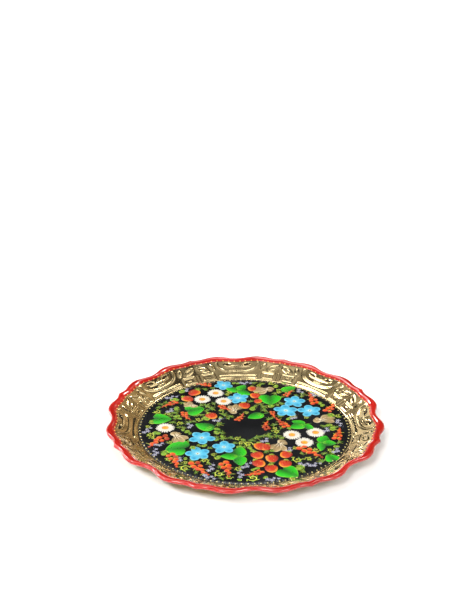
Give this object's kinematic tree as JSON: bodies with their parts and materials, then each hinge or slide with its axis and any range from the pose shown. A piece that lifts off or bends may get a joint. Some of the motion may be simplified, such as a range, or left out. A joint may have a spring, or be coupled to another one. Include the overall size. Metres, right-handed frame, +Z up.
{
  "type": "painted serving tray",
  "caption": "Round scalloped tray of pressed brass with a flat black lacquered floor painted with flowers and a red enamelled rim, for standing a tea service on.",
  "frame": {"origin": "centre of the tray, at the underside of its flat floor", "axes": "+Z up, square to the floor; +X and +Y each point at the middle of one of the outline's eight deep bays"},
  "size_m": [0.3908, 0.3908, 0.02],
  "materials": {
    "polished_brass": "pale polished brass, bare on the wall and underneath",
    "steel_wire": "drawn steel wire",
    "black_lacquer": "glossy black lacquer ground",
    "red_enamel": "glossy red enamel",
    "floral_paint": "oil-painted flowers, leaves and berries under clear lacquer; only the visual model uses it"
  },
  "bodies": {
    "root": {"tray_pan": "polished_brass", "edge_wire": "steel_wire", "floor_lacquer": "black_lacquer", "rim_enamel": "red_enamel"}
  },
  "joints": []
}
